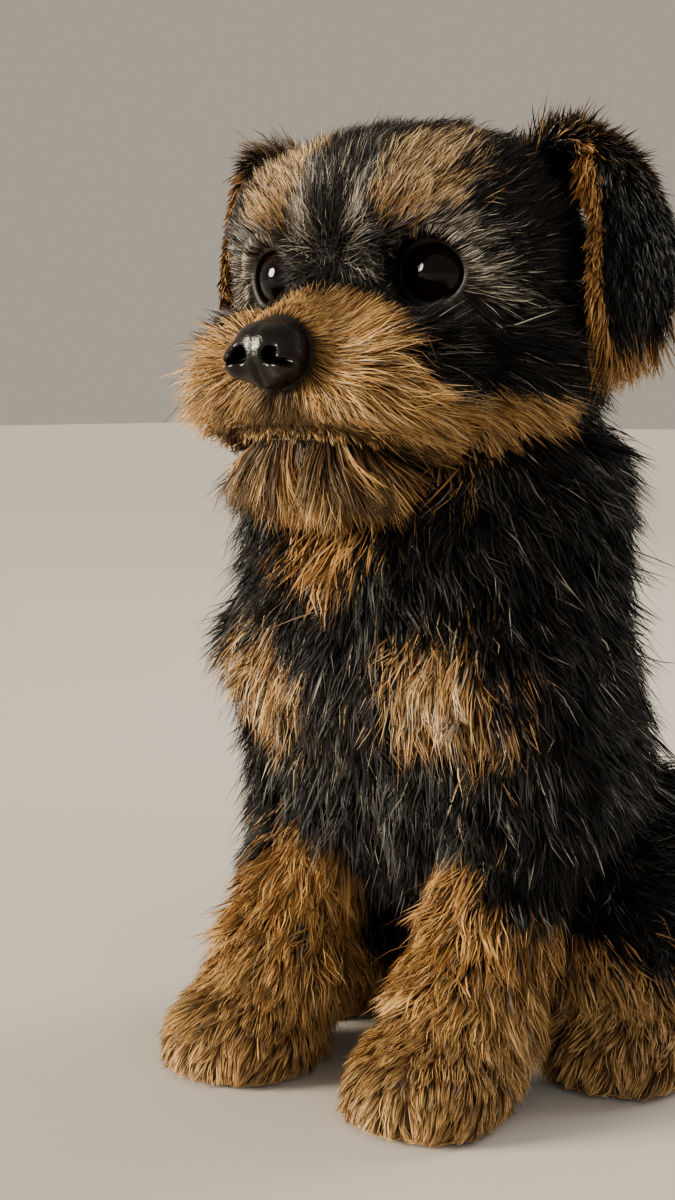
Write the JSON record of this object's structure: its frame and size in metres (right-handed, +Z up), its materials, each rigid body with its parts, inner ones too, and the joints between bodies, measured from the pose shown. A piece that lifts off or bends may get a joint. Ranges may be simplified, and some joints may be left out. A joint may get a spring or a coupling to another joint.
{
  "type": "yorkshire terrier puppy",
  "caption": "Life-size still model of a young yorkshire terrier sitting upright, head raised and turned a little, ears folded over, with a shaggy black and tan coat.",
  "frame": {"origin": "The middle of the animal's bounding box, on the floor that its paws, hocks, rump and tail rest on.", "axes": "+Z is up. The animal faces -Y, with its left side towards +X. The head is turned 6 degrees to its left."},
  "size_m": [0.1164, 0.1528, 0.1998],
  "materials": {
    "black_coat": "soft shaggy black puppy coat",
    "tan_coat": "soft shaggy golden tan puppy coat",
    "nose_leather": "moist black nose leather with a fine pebble grain",
    "eye": "wet, very dark brown eye"
  },
  "bodies": {
    "root": {"head": "black_coat", "lower_jaw": "tan_coat", "nose": "nose_leather", "eye_left": "eye", "eye_right": "eye", "ear_left": "black_coat", "ear_right": "black_coat", "neck": "black_coat", "trunk": "black_coat", "tail": "black_coat", "shoulder_left": "black_coat", "shoulder_right": "black_coat", "foreleg_left": "tan_coat", "foreleg_right": "tan_coat", "forepaw_left": "tan_coat", "forepaw_right": "tan_coat", "thigh_left": "black_coat", "thigh_right": "black_coat", "hindleg_left": "tan_coat", "hindleg_right": "tan_coat", "hindpaw_left": "tan_coat", "hindpaw_right": "tan_coat"}
  },
  "joints": []
}
